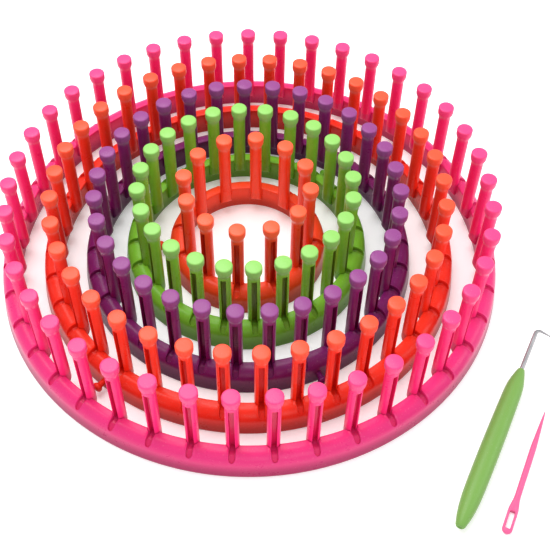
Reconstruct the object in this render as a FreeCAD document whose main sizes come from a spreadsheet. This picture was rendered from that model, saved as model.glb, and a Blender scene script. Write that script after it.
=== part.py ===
import FreeCAD, Part
import math
import os
import Sketcher

# Nested set of five round knitting looms with a hook tool and a yarn needle.
# Millimetres. +Z up, base plane z = 0, origin in the middle of the whole set's footprint.

doc = FreeCAD.newDocument("knitting_looms")
sheet = doc.addObject("Spreadsheet::Sheet", "Sheet")
V = FreeCAD.Vector

# name, number of pegs, angle of the first peg, centre from the smallest loom's, anchor angle
LOOMS = [
    ("extra_large", 41, 92.5, 2.0, -4.7, 141.0),
    ("large", 36, 85.2, 1.2, -4.4, -128.5),
    ("medium", 31, 81.9, 0.8, -4.0, -64.7),
    ("small", 24, 81.1, -0.5, -0.6, 52.0),
    ("mini", 12, 83.7, 0.0, 0.0, -176.8),
]

# driving dimensions: the value is a plain number
DRIVING = [
    ("set_diameter", 290.0, "outside diameter of the largest loom at its foot"),
    ("nest_step", 24.5, "how much smaller in radius each next loom is"),
    ("ring_width", 10.5, "radial width of a ring at its foot"),
    ("ring_height", 15.0, "height of a ring without its pegs"),
    ("wall_thick", 2.0, "wall of the hollow ring"),
    ("roof_thick", 2.2, "top wall of the hollow ring"),
    ("outer_slope", 1.2, "how far the outer wall leans in from foot to shoulder"),
    ("shoulder_round", 6.5, "rounding of the outer shoulder"),
    ("cave_corner", 3.0, "slanted corner of the hollow under the shoulder"),
    ("inner_round", 0.8, "rounding of the inner top edge"),
    ("rib_recess", 1.0, "how far the ribs stay above the foot"),
    ("rib_extra", 1.6, "how much wider a rib is than the peg's stem"),
    ("peg_total", 60.0, "height from the foot of a ring to the top of a peg"),
    ("peg_inset", 1.0, "peg axis, inward of the ring's inner wall"),
    ("peg_foot", 6.0, "height at which a peg's stem ends below the ring's top"),
    ("stem_size", 7.0, "diameter of a peg's stem"),
    ("head_over", 1.1, "how far the head stands out beyond the stem"),
    ("head_long", 8.2, "height of the head from neck to top"),
    ("head_rim", 1.5, "rounding of the head's rim"),
    ("head_dome", 0.45, "rise of the head's top"),
    ("groove_wide", 2.8, "width of the hook groove in a peg"),
    ("groove_deep", 3.5, "depth of the hook groove"),
    ("groove_below", 1.4, "plain stem between neck and groove"),
    ("tip_rise", 4.0, "height of the slanted cut under the stem's free side"),
    ("trench_wide", 3.2, "width of the hook trench in the ring's top"),
    ("trench_deep", 2.0, "depth of the hook trench"),
    ("trench_level", 4.8, "where the trench's floor begins to slope, from the inner wall"),
    ("trench_reach", 8.7, "trench end, outward of the ring's inner wall"),
    ("trench_drop", 2.6, "how far the trench's floor slopes down to its end"),
    ("key_web", 1.4, "thickness of the web of a peg's locking key"),
    ("key_bar_wide", 3.0, "width of the bar of the locking key"),
    ("key_bar_thick", 1.4, "thickness of the bar of the locking key"),
    ("key_out", 2.6, "how far the locking key stands out beyond the stem"),
    ("fit_gap", 0.05, "clearance all round a pressed-in peg"),
    ("anchor_neck", 3.4, "diameter of the yarn anchor's neck"),
    ("anchor_head", 5.8, "diameter of the yarn anchor's head"),
    ("anchor_out", 6.0, "how far the yarn anchor stands out"),
    ("anchor_in", 3.0, "how deep the yarn anchor is pressed in"),
    ("anchor_level", 5.6, "height of the yarn anchor's axis"),
    ("handle_long", 101.0, "length of the hook tool's handle"),
    ("handle_size", 11.0, "largest diameter of the handle"),
    ("handle_butt", 4.6, "diameter of the handle's butt end"),
    ("handle_tail", 10.4, "diameter of the handle where its tail begins"),
    ("handle_neck", 9.8, "diameter of the handle at the start of its nose"),
    ("handle_mouth", 3.8, "diameter of the handle where the rod comes out"),
    ("tail_long", 22.0, "length of the narrowing tail"),
    ("nose_long", 14.0, "length of the nose"),
    ("rod_size", 2.4, "diameter of the steel hook rod"),
    ("rod_free", 27.0, "straight rod outside the handle"),
    ("rod_buried", 18.0, "rod inside the handle"),
    ("rod_bend", 2.4, "bend radius of the hook, on its axis"),
    ("rod_turn", 101.0, "angle through which the hook is bent"),
    ("hook_arm", 5.4, "tapered arm after the bend"),
    ("hook_point", 1.1, "diameter at the end of the arm"),
    ("rod_gap", 0.02, "clearance round the rod in the handle"),
    ("tool_away", 24.5, "hook tool axis, outward of the largest loom's foot"),
    ("tool_along", -60.3, "middle of the handle along its own line"),
    ("tool_turn", 65.3, "direction of the hook tool"),
    ("needle_away", 43.0, "needle axis, outward of the largest loom's foot"),
    ("needle_along", -69.0, "middle of the needle along its own line"),
    ("needle_turn", 66.8, "direction of the needle"),
    ("needle_long", 75.6, "length of the needle"),
    ("needle_wide", 5.1, "width of the needle at its eye"),
    ("needle_shaft", 3.1, "diameter of the needle's shaft"),
    ("needle_thick", 2.4, "thickness of the flattened eye"),
    ("eye_long", 10.5, "length of the eye"),
    ("eye_wide", 2.5, "width of the eye"),
    ("thread_rest", 3.6, "length of the hollow in front of the eye"),
    ("eye_start", 2.3, "plain end behind the eye"),
    ("set_x", -14.35, "smallest loom's centre from the middle of the set's footprint"),
    ("set_y", 18.43, "smallest loom's centre from the middle of the set's footprint"),
    ("cut_over", 2.0, "how far a cutting shape stands past what it cuts"),
]

# values worked out from the driving ones
DERIVED = [
    ("stem_r", "stem_size / 2"),
    ("head_r", "stem_size / 2 + head_over"),
    ("neck_z", "peg_total - head_long"),
    ("swell_z", "neck_z + head_long * 0.55"),
    ("swell_curve", "head_long * 1.1"),
    ("rim_z", "peg_total - head_dome - head_rim"),
    ("disc_z", "peg_total - head_dome"),
    ("disc_r", "head_r - head_rim"),
    ("dome_curve", "(disc_r * disc_r + head_dome * head_dome) / (2 * head_dome)"),
    ("trench_z", "ring_height - trench_deep"),
    ("key_end", "stem_r + key_out"),
    ("shoulder_z", "ring_height - shoulder_round"),
    ("inner_top_z", "ring_height - inner_round"),
    ("roof_z", "ring_height - roof_thick"),
    ("roof_corner_z", "roof_z - cave_corner"),
    ("slope_z", "trench_z - trench_drop"),
    ("handle_r", "handle_size / 2"),
    ("butt_r", "handle_butt / 2"),
    ("tail_r", "handle_tail / 2"),
    ("neck_r", "handle_neck / 2"),
    ("mouth_r", "handle_mouth / 2"),
    ("rod_r", "rod_size / 2"),
    ("belly_x", "handle_long * 0.45"),
    ("nose_x", "handle_long - nose_long"),
    ("tail_run", "belly_x - tail_long"),
    ("nose_run", "nose_x - belly_x"),
    ("tail_rise", "handle_r - tail_r"),
    ("nose_rise", "handle_r - neck_r"),
    ("tail_curve", "(tail_run * tail_run + tail_rise * tail_rise) / (2 * tail_rise)"),
    ("nose_curve", "(nose_run * nose_run + nose_rise * nose_rise) / (2 * nose_rise)"),
    ("butt_rise", "tail_r - butt_r"),
    ("tail_round", "(tail_long * tail_long + butt_rise * butt_rise) / (2 * butt_rise)"),
    ("nose_round", "nose_long * 1.6"),
    ("anchor_neck_r", "anchor_neck / 2"),
    ("anchor_head_r", "anchor_head / 2"),
    ("anchor_tip", "anchor_in + anchor_out"),
    ("anchor_swell", "anchor_tip - anchor_head * 0.42"),
    ("anchor_neck_end", "anchor_tip - anchor_head * 0.62"),
    ("anchor_round", "anchor_head * 0.62"),
    ("needle_r", "needle_wide / 2"),
    ("shaft_r", "needle_shaft / 2"),
    ("needle_flat", "eye_start + eye_long"),
    ("needle_neck", "needle_flat + 7"),
    ("needle_taper", "needle_long - 22"),
    ("needle_nib", "needle_long - 1"),
    ("nib_r", "shaft_r * 0.3"),
    ("taper_r", "shaft_r * 0.88"),
]

for i, (loom, count, phase, cx, cy, knob) in enumerate(LOOMS):
    DRIVING += [
        (loom + "_count", count, "number of pegs"),
        (loom + "_phase", phase, "angle of the first peg"),
        (loom + "_from_x", cx, "loom centre from the smallest loom's"),
        (loom + "_from_y", cy, "loom centre from the smallest loom's"),
        (loom + "_anchor", knob, "angle of the yarn anchor"),
    ]
    DERIVED += [
        (loom + "_x", "set_x + %s_from_x" % loom),
        (loom + "_y", "set_y + %s_from_y" % loom),
        (loom + "_out", "set_diameter / 2 - %d * nest_step" % i),
        (loom + "_in", loom + "_out - ring_width"),
        (loom + "_in_round", loom + "_in + inner_round"),
        (loom + "_band_end", loom + "_out - outer_slope - shoulder_round"),
        (loom + "_shoulder", loom + "_out - outer_slope"),
        (loom + "_cave_out", loom + "_out - wall_thick"),
        (loom + "_cave_top", loom + "_out - wall_thick - outer_slope"),
        (loom + "_cave_bend", loom + "_out - wall_thick - outer_slope - cave_corner"),
        (loom + "_cave_in", loom + "_in + wall_thick"),
        (loom + "_pegs", loom + "_in - peg_inset"),
    ]

for row, (alias, value, note) in enumerate(DRIVING, start=1):
    sheet.set("A%d" % row, alias)
    sheet.set("B%d" % row, str(value))
    sheet.set("C%d" % row, note)
    sheet.setAlias("B%d" % row, alias)
for row, (alias, formula) in enumerate(DERIVED, start=len(DRIVING) + 2):
    sheet.set("A%d" % row, alias)
    sheet.set("B%d" % row, "=" + formula)
    sheet.setAlias("B%d" % row, alias)
doc.recompute()


def num(alias):
    """A value of the sheet as a plain number."""
    return float(getattr(sheet, alias))


def plane(body, role):
    for feature in body.Origin.OriginFeatures:
        if feature.Role == role:
            return feature


def outline(body, name, role, corners, curves):
    """A closed sketch. Corners are pairs of sheet names, "" for zero.
    curves maps the number of a side to the sheet name of its radius; it bulges to the left if the
    name starts with a minus sign."""
    sketch = body.newObject("Sketcher::SketchObject", name)
    sketch.AttachmentSupport = [(plane(body, role), "")]
    sketch.MapMode = "FlatFace"
    spots = [V(num(x) if x else 0, num(y) if y else 0, 0) for x, y in corners]
    total = len(spots)
    ends = []
    for k in range(total):
        a = spots[k]
        b = spots[(k + 1) % total]
        if k in curves:
            radius = curves[k]
            left = radius.startswith("-")
            r = num(radius.lstrip("-"))
            half = (b - a).Length / 2
            side = V(-(b - a).y, (b - a).x, 0).normalize()
            lift = math.sqrt(max(r * r - half * half, 0))
            centre = (a + b) / 2 + side * (-lift if left else lift)
            start = math.atan2(a.y - centre.y, a.x - centre.x)
            end = math.atan2(b.y - centre.y, b.x - centre.x)
            circle = Part.Circle(centre, V(0, 0, 1), r)
            if left:
                g = sketch.addGeometry(Part.ArcOfCircle(circle, end, start), False)
                ends.append((g, 2, 1))
            else:
                g = sketch.addGeometry(Part.ArcOfCircle(circle, start, end), False)
                ends.append((g, 1, 2))
        else:
            g = sketch.addGeometry(Part.LineSegment(a, b), False)
            ends.append((g, 1, 2))
    for k in range(total):
        g, first, last = ends[k]
        h, begin, _ = ends[(k + 1) % total]
        sketch.addConstraint(Sketcher.Constraint("Coincident", g, last, h, begin))
    for k, (x, y) in enumerate(corners):
        g, first, _ = ends[k]
        for kind, alias, axis in (("DistanceX", x, -2), ("DistanceY", y, -1)):
            if alias:
                n = sketch.addConstraint(Sketcher.Constraint(kind, -1, 1, g, first, num(alias)))
                sketch.setExpression("Constraints[%d]" % n, "Sheet." + alias)
            else:
                sketch.addConstraint(Sketcher.Constraint("PointOnObject", g, first, axis))
    for k, radius in curves.items():
        alias = radius.lstrip("-")
        n = sketch.addConstraint(Sketcher.Constraint("Radius", ends[k][0], num(alias)))
        sketch.setExpression("Constraints[%d]" % n, "Sheet." + alias)
    return sketch


def turned(name, role, axis, corners, curves):
    """A body made by turning an outline about one of its sketch's axes."""
    body = doc.addObject("PartDesign::Body", name)
    sketch = outline(body, name + "_outline", role, corners, curves)
    turn = body.newObject("PartDesign::Revolution", name + "_turn")
    turn.Profile = sketch
    turn.ReferenceAxis = (sketch, [axis])
    turn.Angle = 360
    doc.recompute()
    return body


def bind(thing, **rules):
    """Ties properties of an object to the sheet."""
    for prop, rule in rules.items():
        path = prop.replace("at_", "Placement.Base.")
        thing.setExpression(path, rule)
    return thing


def box(name, x, y, z, length, width, height):
    made = doc.addObject("Part::Box", name)
    return bind(made, at_x=x, at_y=y, at_z=z, Length=length, Width=width, Height=height)


def cylinder(name, x, y, z, radius, height):
    made = doc.addObject("Part::Cylinder", name)
    return bind(made, at_x=x, at_y=y, at_z=z, Radius=radius, Height=height)


def joined(name, pieces):
    made = doc.addObject("Part::MultiFuse", name)
    made.Shapes = pieces
    return made


def cut(name, base, tool):
    made = doc.addObject("Part::Cut", name)
    made.Base = base
    made.Tool = tool
    return made


# ---- one peg, its axis on Z, the loom's outside towards +X ----
peg_blank = turned(
    "peg_blank",
    "XZ_Plane",
    "V_Axis",
    [
        ("", "peg_foot"),
        ("stem_r", "peg_foot"),
        ("stem_r", "neck_z"),
        ("head_r", "swell_z"),
        ("head_r", "rim_z"),
        ("disc_r", "disc_z"),
        ("", "peg_total"),
    ],
    {2: "swell_curve", 4: "head_rim", 5: "dome_curve"},
)
key_web = box(
    "key_web", "0 mm", "-Sheet.key_web / 2 * 1 mm", "Sheet.peg_foot * 1 mm",
    "Sheet.key_end * 1 mm", "Sheet.key_web * 1 mm", "(Sheet.trench_z - Sheet.peg_foot) * 1 mm",
)
key_bar = box(
    "key_bar", "(Sheet.key_end - Sheet.key_bar_thick) * 1 mm", "-Sheet.key_bar_wide / 2 * 1 mm",
    "Sheet.peg_foot * 1 mm", "Sheet.key_bar_thick * 1 mm", "Sheet.key_bar_wide * 1 mm",
    "(Sheet.trench_z - Sheet.peg_foot) * 1 mm",
)
groove = box(
    "hook_groove", "(Sheet.stem_r - Sheet.groove_deep) * 1 mm", "-Sheet.groove_wide / 2 * 1 mm",
    "Sheet.trench_z * 1 mm", "(Sheet.groove_deep + Sheet.cut_over) * 1 mm",
    "Sheet.groove_wide * 1 mm",
    "(Sheet.neck_z - Sheet.groove_below - Sheet.trench_z) * 1 mm",
)
doc.recompute()

# the slanted cut under the part of the stem that hangs inside the ring
tip_cut = doc.addObject("Part::Wedge", "tip_cut")
for prop, rule in {
    "Xmin": "-Sheet.stem_r - Sheet.cut_over",
    "Xmax": "Sheet.peg_inset / 2",
    "X2min": "-Sheet.stem_r - Sheet.cut_over",
    "X2max": "-Sheet.stem_r",
    "Ymin": "Sheet.peg_foot",
    "Ymax": "Sheet.peg_foot + Sheet.tip_rise",
    "Zmin": "-Sheet.stem_r - Sheet.cut_over",
    "Zmax": "Sheet.stem_r + Sheet.cut_over",
    "Z2min": "-Sheet.stem_r - Sheet.cut_over",
    "Z2max": "Sheet.stem_r + Sheet.cut_over",
}.items():
    tip_cut.setExpression(prop, "(" + rule + ") * 1 mm")
tip_cut.Placement = FreeCAD.Placement(V(0, 0, 0), FreeCAD.Rotation(V(1, 0, 0), 90))
doc.recompute()

peg_solid = joined("peg_solid", [peg_blank, key_web, key_bar])
peg = cut("peg", peg_solid, joined("peg_cuts", [groove, tip_cut]))
doc.recompute()

# ---- what one peg needs in the ring: a rib, and the space for it and for the hook ----
rib_under = box(
    "rib_under", "(Sheet.peg_inset + Sheet.wall_thick / 2) * 1 mm",
    "-(Sheet.stem_size + Sheet.rib_extra) / 2 * 1 mm", "Sheet.rib_recess * 1 mm",
    "(Sheet.ring_width - Sheet.wall_thick * 1.4) * 1 mm",
    "(Sheet.stem_size + Sheet.rib_extra) * 1 mm",
    "(Sheet.roof_corner_z + Sheet.roof_thick / 4 - Sheet.rib_recess) * 1 mm",
)
rib_above = box(
    "rib_above", "(Sheet.peg_inset + Sheet.wall_thick / 2) * 1 mm",
    "-(Sheet.stem_size + Sheet.rib_extra) / 2 * 1 mm", "Sheet.rib_recess * 1 mm",
    "(Sheet.ring_width - Sheet.outer_slope - Sheet.wall_thick * 1.7) * 1 mm",
    "(Sheet.stem_size + Sheet.rib_extra) * 1 mm",
    "(Sheet.roof_z + Sheet.roof_thick / 10 - Sheet.rib_recess) * 1 mm",
)
rib = joined("rib", [rib_under, rib_above])

space_stem = cylinder(
    "space_stem", "0 mm", "0 mm", "Sheet.peg_foot * 1 mm", "(Sheet.stem_r + Sheet.fit_gap) * 1 mm",
    "(Sheet.ring_height + Sheet.cut_over - Sheet.peg_foot) * 1 mm",
)
space_web = box(
    "space_web", "0 mm", "-(Sheet.key_web / 2 + Sheet.fit_gap) * 1 mm", "Sheet.peg_foot * 1 mm",
    "Sheet.key_end * 1 mm", "(Sheet.key_web + 2 * Sheet.fit_gap) * 1 mm",
    "(Sheet.trench_z + Sheet.trench_deep / 2 - Sheet.peg_foot) * 1 mm",
)
space_bar = box(
    "space_bar", "(Sheet.key_end - Sheet.key_bar_thick - Sheet.fit_gap) * 1 mm",
    "-(Sheet.key_bar_wide / 2 + Sheet.fit_gap) * 1 mm", "Sheet.peg_foot * 1 mm",
    "(Sheet.key_bar_thick + 2 * Sheet.fit_gap) * 1 mm",
    "(Sheet.key_bar_wide + 2 * Sheet.fit_gap) * 1 mm",
    "(Sheet.trench_z + Sheet.trench_deep / 2 - Sheet.peg_foot) * 1 mm",
)
trench_strip = box(
    "trench_strip", "0 mm", "-Sheet.trench_wide / 2 * 1 mm", "Sheet.trench_z * 1 mm",
    "(Sheet.peg_inset + Sheet.trench_reach) * 1 mm",
    "Sheet.trench_wide * 1 mm", "(Sheet.trench_deep + Sheet.cut_over) * 1 mm",
)
trench_slope = doc.addObject("Part::Wedge", "trench_slope")
for prop, rule in {
    "Xmin": "Sheet.peg_inset + Sheet.trench_reach - Sheet.wall_thick / 4",
    "Xmax": "Sheet.peg_inset + Sheet.trench_reach",
    "X2min": "Sheet.peg_inset + Sheet.trench_level",
    "X2max": "Sheet.peg_inset + Sheet.trench_reach",
    "Ymin": "Sheet.slope_z",
    "Ymax": "Sheet.trench_z",
    "Zmin": "-Sheet.trench_wide / 2",
    "Zmax": "Sheet.trench_wide / 2",
    "Z2min": "-Sheet.trench_wide / 2",
    "Z2max": "Sheet.trench_wide / 2",
}.items():
    trench_slope.setExpression(prop, "(" + rule + ") * 1 mm")
trench_slope.Placement = FreeCAD.Placement(V(0, 0, 0), FreeCAD.Rotation(V(1, 0, 0), 90))
space = joined("peg_space", [space_stem, space_web, space_bar, trench_strip, trench_slope])
doc.recompute()


def angles(loom):
    """Angles of all pegs of a loom, in degrees."""
    count = int(num(loom + "_count"))
    return [num(loom + "_phase") + 360.0 * k / count for k in range(count)]


def ringed(shape, loom, turns):
    """Copies of a shape round a loom's peg circle, as one compound."""
    copies = []
    for a in turns:
        at = V(num(loom + "_pegs"), 0, 0)
        copy = shape.copy()
        copy.translate(at)
        copy.rotate(V(0, 0, 0), V(0, 0, 1), a)
        copies.append(copy)
    return Part.makeCompound(copies)


def held(name, shape):
    made = doc.addObject("Part::Feature", name)
    made.Shape = shape
    return made


def centred(thing, loom):
    bind(thing, at_x="Sheet.%s_x * 1 mm" % loom, at_y="Sheet.%s_y * 1 mm" % loom)


QUARTERS = [("back", 90.0), ("left", 180.0), ("front", 270.0), ("right", 0.0)]


def quarter(angle):
    """The side of the loom that an angle points to."""
    return min(QUARTERS, key=lambda q: abs((angle - q[1] + 180.0) % 360.0 - 180.0))[0]


nodes = []

# ---- each loom: ring, four groups of pegs, yarn anchor ----
for loom, *_ in LOOMS:
    ring_blank = turned(
        loom + "_ring_blank",
        "XZ_Plane",
        "V_Axis",
        [
            (loom + "_in", ""),
            (loom + "_cave_in", ""),
            (loom + "_cave_in", "roof_z"),
            (loom + "_cave_bend", "roof_z"),
            (loom + "_cave_top", "roof_corner_z"),
            (loom + "_cave_out", ""),
            (loom + "_out", ""),
            (loom + "_shoulder", "shoulder_z"),
            (loom + "_band_end", "ring_height"),
            (loom + "_in_round", "ring_height"),
            (loom + "_in", "inner_top_z"),
        ],
        {7: "shoulder_round", 9: "inner_round"},
    )
    ribs = held(loom + "_ribs", ringed(rib.Shape, loom, angles(loom)))
    spaces = held(loom + "_spaces", ringed(space.Shape, loom, angles(loom)))
    anchor_hole = doc.addObject("Part::Cylinder", loom + "_anchor_hole")
    bind(
        anchor_hole,
        Radius="(Sheet.anchor_neck_r + Sheet.fit_gap) * 1 mm",
        Height="(Sheet.anchor_in + Sheet.cut_over) * 1 mm",
    )
    a = num(loom + "_anchor")
    out = V(math.cos(math.radians(a)), math.sin(math.radians(a)), 0)
    seat = out * (num(loom + "_out") - num("anchor_in")) + V(0, 0, num("anchor_level"))
    anchor_hole.Placement = FreeCAD.Placement(seat, FreeCAD.Rotation(V(0, 0, 1), out))
    solid = joined(loom + "_ring_solid", [ring_blank, ribs])
    ring = cut(loom + "_loom_ring", solid, joined(loom + "_ring_cuts", [spaces, anchor_hole]))
    centred(ring, loom)
    doc.recompute()
    nodes.append(ring)

    for side, _ in QUARTERS:
        turns = [a for a in angles(loom) if quarter(a) == side]
        group = held("%s_loom_pegs_%s" % (loom, side), ringed(peg.Shape, loom, turns))
        centred(group, loom)
        nodes.append(group)

    anchor = turned(
        loom + "_loom_yarn_anchor",
        "XY_Plane",
        "H_Axis",
        [
            ("", ""),
            ("", "anchor_neck_r"),
            ("anchor_neck_end", "anchor_neck_r"),
            ("anchor_swell", "anchor_head_r"),
            ("anchor_tip", ""),
        ],
        {3: "-anchor_round"},
    )
    there = FreeCAD.Rotation(V(0, 0, 1), a)
    anchor.Placement = FreeCAD.Placement(
        seat + V(num(loom + "_x"), num(loom + "_y"), 0), there
    )
    nodes.append(anchor)


def beside(away, along, turn, length, height):
    """Placement of a tool lying beside the largest loom, its axis along X at first."""
    t = math.radians(num(turn))
    line = V(math.cos(t), math.sin(t), 0)
    normal = V(math.sin(t), -math.cos(t), 0)
    middle = normal * (num("extra_large_out") + num(away)) + line * num(along)
    start = middle - line * (num(length) / 2)
    lift = V(num("extra_large_x"), num("extra_large_y"), height)
    return FreeCAD.Placement(start + lift, FreeCAD.Rotation(V(0, 0, 1), num(turn)))


# ---- hook tool: turned handle and bent steel rod, tail at x = 0 ----
handle_blank = turned(
    "handle_blank",
    "XY_Plane",
    "H_Axis",
    [
        ("", ""),
        ("", "butt_r"),
        ("tail_long", "tail_r"),
        ("belly_x", "handle_r"),
        ("nose_x", "neck_r"),
        ("handle_long", "mouth_r"),
        ("handle_long", ""),
    ],
    {1: "-tail_round", 2: "-tail_curve", 3: "-nose_curve", 4: "-nose_round"},
)
rod_hole = doc.addObject("Part::Cylinder", "rod_hole")
bind(
    rod_hole,
    Radius="(Sheet.rod_r + Sheet.rod_gap) * 1 mm",
    Height="(Sheet.rod_buried + Sheet.cut_over) * 1 mm",
)
across = FreeCAD.Rotation(V(0, 0, 1), V(1, 0, 0))
buried = num("handle_long") - num("rod_buried")
rod_hole.Placement = FreeCAD.Placement(V(buried, 0, 0), across)
handle = cut("hook_tool_handle", handle_blank, rod_hole)
handle.Placement = beside("tool_away", "tool_along", "tool_turn", "handle_long", num("handle_r"))
nodes.append(handle)

rod = doc.addObject("Part::Cylinder", "hook_rod")
bind(rod, Radius="Sheet.rod_r * 1 mm", Height="(Sheet.rod_buried + Sheet.rod_free) * 1 mm")
rod.Placement = FreeCAD.Placement(V(buried, 0, 0), across)
bend = doc.addObject("Part::Torus", "hook_bend")
bind(
    bend, Radius1="Sheet.rod_bend * 1 mm", Radius2="Sheet.rod_r * 1 mm",
    Angle3="Sheet.rod_turn * 1 deg",
)
last = 90.0 - num("rod_turn")
pivot = V(num("handle_long") + num("rod_free"), -num("rod_bend"), 0)
bend.Placement = FreeCAD.Placement(pivot, FreeCAD.Rotation(V(0, 0, 1), last))
c = math.cos(math.radians(last))
s = math.sin(math.radians(last))
arm = doc.addObject("Part::Cone", "hook_arm_cone")
bind(
    arm, Radius1="Sheet.rod_r * 1 mm", Radius2="Sheet.hook_point / 2 * 1 mm",
    Height="Sheet.hook_arm * 1 mm",
)
arm_start = pivot + V(c, s, 0) * num("rod_bend")
arm_line = V(s, -c, 0)
arm.Placement = FreeCAD.Placement(arm_start, FreeCAD.Rotation(V(0, 0, 1), arm_line))
nib = doc.addObject("Part::Sphere", "hook_nib")
bind(nib, Radius="Sheet.hook_point / 2 * 1 mm")
nib.Placement.Base = arm_start + arm_line * num("hook_arm")
hook = joined("hook_tool_hook", [rod, bend, arm, nib])
hook.Placement = handle.Placement
nodes.append(hook)

# ---- yarn needle: turned blank, flattened at the eye ----
needle_blank = turned(
    "needle_blank",
    "XY_Plane",
    "H_Axis",
    [
        ("", ""),
        ("needle_r", "needle_r"),
        ("needle_flat", "needle_r"),
        ("needle_neck", "shaft_r"),
        ("needle_taper", "taper_r"),
        ("needle_nib", "nib_r"),
        ("needle_long", ""),
    ],
    {0: "-needle_r"},
)
eye_slot = box(
    "eye_slot", "(Sheet.eye_start + Sheet.eye_wide / 2) * 1 mm", "-Sheet.eye_wide / 2 * 1 mm",
    "-Sheet.needle_wide * 1 mm", "(Sheet.eye_long - Sheet.eye_wide) * 1 mm",
    "Sheet.eye_wide * 1 mm", "2 * Sheet.needle_wide * 1 mm",
)
eye_back = cylinder(
    "eye_back", "(Sheet.eye_start + Sheet.eye_wide / 2) * 1 mm", "0 mm",
    "-Sheet.needle_wide * 1 mm", "Sheet.eye_wide / 2 * 1 mm", "2 * Sheet.needle_wide * 1 mm",
)
eye_front = cylinder(
    "eye_front", "(Sheet.eye_start + Sheet.eye_long - Sheet.eye_wide / 2) * 1 mm", "0 mm",
    "-Sheet.needle_wide * 1 mm", "Sheet.eye_wide / 2 * 1 mm", "2 * Sheet.needle_wide * 1 mm",
)
eye_groove = box(
    "eye_groove", "(Sheet.needle_flat - Sheet.eye_wide / 2) * 1 mm", "-Sheet.eye_wide / 4 * 1 mm",
    "Sheet.needle_thick / 4 * 1 mm", "(Sheet.thread_rest + Sheet.eye_wide / 2) * 1 mm",
    "Sheet.eye_wide / 2 * 1 mm",
    "Sheet.needle_wide * 1 mm",
)
flats = []
for name, rule in (
    ("flat_above", "Sheet.needle_thick / 2 * 1 mm"),
    ("flat_below", "-(Sheet.needle_thick / 2 + Sheet.needle_wide) * 1 mm"),
):
    flats.append(
        box(
            name, "-Sheet.cut_over * 1 mm", "-Sheet.needle_wide * 1 mm", rule,
            "(Sheet.needle_long + 2 * Sheet.cut_over) * 1 mm", "2 * Sheet.needle_wide * 1 mm",
            "Sheet.needle_wide * 1 mm",
        )
    )
needle_cuts = joined("needle_cuts", [eye_slot, eye_back, eye_front, eye_groove] + flats)
needle = cut("yarn_needle", needle_blank, needle_cuts)
needle.Placement = beside(
    "needle_away", "needle_along", "needle_turn", "needle_long", num("needle_thick") / 2
)
nodes.append(needle)

for node in nodes:
    node.Label = node.Name
doc.recompute()

# ---- every object must be sound before anything is written ----
for thing in doc.Objects:
    bad = [word for word in thing.State if word in ("Invalid", "Error")]
    if bad:
        raise RuntimeError("%s is %s" % (thing.Name, bad))
os.makedirs("parts", exist_ok=True)
for node in nodes:
    shape = node.Shape
    if shape.isNull() or not shape.isValid() or not shape.Solids:
        raise RuntimeError("%s has no sound shape" % node.Name)
    size = shape.BoundBox
    print(
        "%-32s solids %2d volume %9.1f box %6.1f %6.1f %6.1f" % (
            node.Label, len(shape.Solids), shape.Volume, size.XLength, size.YLength, size.ZLength
        )
    )
    shape.exportStep("parts/%s.step" % node.Label)
print("nodes written:", len(nodes))
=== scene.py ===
# %% [markdown]
# # A nested set of round knitting looms
# Five moulded rings stand inside each other, each with a crown of pressed-in pegs. A hook tool and
# a yarn needle lie beside them. This lesson dresses the measured model: every peg, ring, knob and
# tool gets its own smooth mesh and its own plastic or steel, and all of it sits exactly where the
# measured model says. We start by loading that model and keeping its overall size for later.

import math

import bpy
import numpy as np
from mathutils import Matrix, Vector


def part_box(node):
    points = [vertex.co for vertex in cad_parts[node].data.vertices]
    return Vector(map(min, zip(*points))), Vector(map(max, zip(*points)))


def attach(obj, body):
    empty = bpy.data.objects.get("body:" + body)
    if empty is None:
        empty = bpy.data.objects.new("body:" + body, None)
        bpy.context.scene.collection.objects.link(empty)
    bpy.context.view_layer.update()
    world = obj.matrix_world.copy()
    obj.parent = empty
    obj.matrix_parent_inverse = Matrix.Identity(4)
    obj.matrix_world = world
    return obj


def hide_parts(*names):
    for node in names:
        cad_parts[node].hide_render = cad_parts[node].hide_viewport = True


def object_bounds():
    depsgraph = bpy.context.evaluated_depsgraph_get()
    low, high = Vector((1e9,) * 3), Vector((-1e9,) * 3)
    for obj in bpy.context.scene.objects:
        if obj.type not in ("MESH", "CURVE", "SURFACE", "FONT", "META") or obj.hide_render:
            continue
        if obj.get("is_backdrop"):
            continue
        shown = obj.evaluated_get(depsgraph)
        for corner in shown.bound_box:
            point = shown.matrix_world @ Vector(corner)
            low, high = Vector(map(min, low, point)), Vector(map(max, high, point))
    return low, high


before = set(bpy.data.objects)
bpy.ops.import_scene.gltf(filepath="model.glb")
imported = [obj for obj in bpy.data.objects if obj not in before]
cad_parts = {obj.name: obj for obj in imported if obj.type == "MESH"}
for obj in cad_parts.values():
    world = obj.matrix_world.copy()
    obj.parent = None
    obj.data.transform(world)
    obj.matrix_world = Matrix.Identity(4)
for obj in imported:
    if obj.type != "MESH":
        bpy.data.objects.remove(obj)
measured_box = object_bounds()
MM = 0.001

# %% [markdown]
# The looms have numbers that the rest of the lesson needs: where each ring's middle is, how wide
# it is and where its pegs stand. The ring's box gives the first two. A peg's highest point lies on
# its axis, so the axes are read from the tops of the peg nodes, and no list of places is needed.

# %% Read the looms from the model
LOOMS = ["extra_large", "large", "medium", "small", "mini"]
SIDES = ["back", "left", "front", "right"]
RING_WIDTH = 10.5 * MM


def corners(node):
    """The lowest and the highest corner of a node, as arrays."""
    low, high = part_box(node)
    return np.array(low), np.array(high)


def loom_middle(loom):
    """Middle of a ring, and its outer and inner radius."""
    low, high = corners(loom + "_loom_ring")
    # the knob and its hole don't reach past the foot of the ring
    middle = (low + high) / 2
    outer = (high[0] - low[0]) / 2
    return middle[:2], outer, outer - RING_WIDTH


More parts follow.
